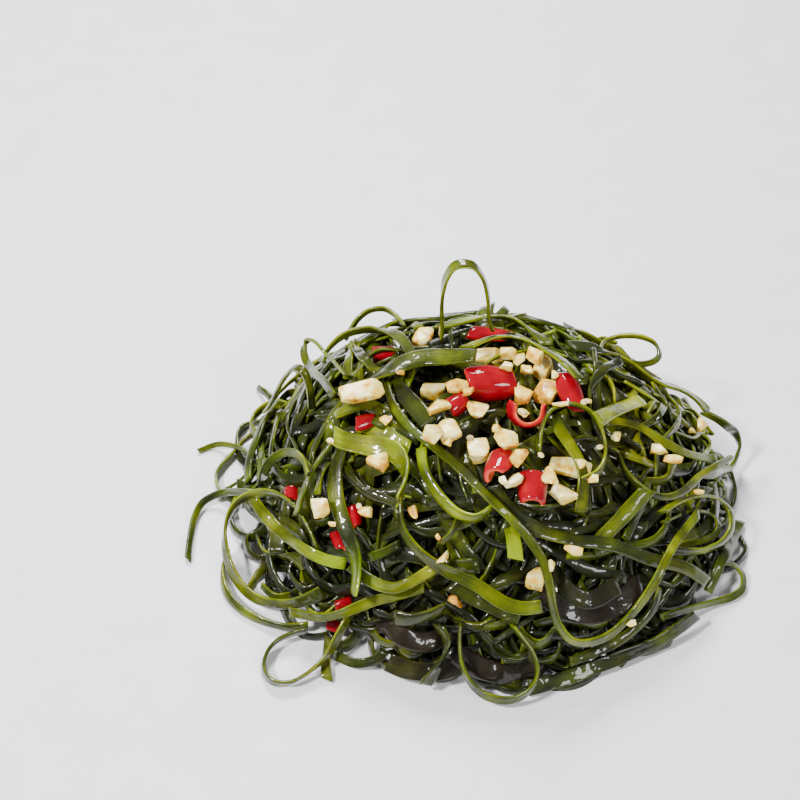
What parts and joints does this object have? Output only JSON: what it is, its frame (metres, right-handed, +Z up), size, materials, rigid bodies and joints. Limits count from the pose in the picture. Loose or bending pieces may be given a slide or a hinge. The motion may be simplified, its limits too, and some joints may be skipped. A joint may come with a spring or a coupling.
{
  "type": "shredded kelp",
  "caption": "Domed heap of tangled, wet kelp shreds with loops and rings at its rim, topped with chopped garlic and cut red chilli.",
  "frame": {"origin": "middle of the heap's flat foot, on the surface it rests on", "axes": "+X to the right along the longest side, +Y to the back, +Z up"},
  "size_m": [0.184, 0.1504, 0.0872],
  "materials": {
    "kelp_dark": "wet, dark green, glossy",
    "kelp": "wet olive green, glossy, slightly translucent",
    "kelp_bright": "wet yellow-green, glossy, slightly translucent",
    "garlic": "moist cream white, waxy",
    "chilli": "wet bright red skin with a paler inside"
  },
  "bodies": {
    "root": {"kelp_tangle": "kelp_dark", "strand_back_band": "kelp", "strand_back_left_loop": "kelp", "strand_back_right_ring": "kelp", "strand_bottom_edge": "kelp", "strand_bottom_left_loop": "kelp", "strand_bottom_loop": "kelp", "strand_bottom_right": "kelp", "strand_bright_band": "kelp_bright", "strand_front_dark": "kelp", "strand_front_leaf": "kelp", "strand_front_left_band": "kelp", "strand_front_sweep": "kelp", "strand_j_curve": "kelp", "strand_left_curl": "kelp", "strand_left_edge": "kelp", "strand_left_floor": "kelp", "strand_left_free_end": "kelp", "strand_left_long": "kelp", "strand_left_ring": "kelp_bright", "strand_left_ring_band": "kelp_bright", "strand_left_slope": "kelp", "strand_left_wide": "kelp", "strand_long_u": "kelp", "strand_lower_right_long": "kelp", "strand_outer_right": "kelp", "strand_right_arch": "kelp_bright", "strand_right_cut_piece": "kelp_bright", "strand_right_edge": "kelp", "strand_right_long_u": "kelp", "strand_right_outer_loop": "kelp", "strand_right_oval": "kelp", "strand_right_pale": "kelp_bright", "strand_right_slope": "kelp", "strand_right_tail": "kelp", "strand_thin_ring": "kelp", "strand_top_band": "kelp_bright", "strand_top_left_arch": "kelp", "strand_top_left_band": "kelp", "strand_top_left_curl": "kelp", "strand_top_loop": "kelp", "strand_top_right_band": "kelp", "garlic_back_dome": "garlic", "garlic_front_chunk": "garlic", "garlic_front_flake": "garlic", "garlic_left_chunk": "garlic", "garlic_long_slice": "garlic", "garlic_low_chunk": "garlic", "garlic_middle_oval": "garlic", "garlic_top_chunk": "garlic", "garlic_top_right_chunk": "garlic", "garlic_white_chunk": "garlic", "garlic_yellow_chunk": "garlic", "chilli_back_chip": "chilli", "chilli_half_pod": "chilli", "chilli_left_chip": "chilli", "chilli_open_ring": "chilli", "chilli_ring_piece": "chilli", "chilli_tube_piece": "chilli", "chilli_wedge": "chilli"}
  },
  "joints": []
}
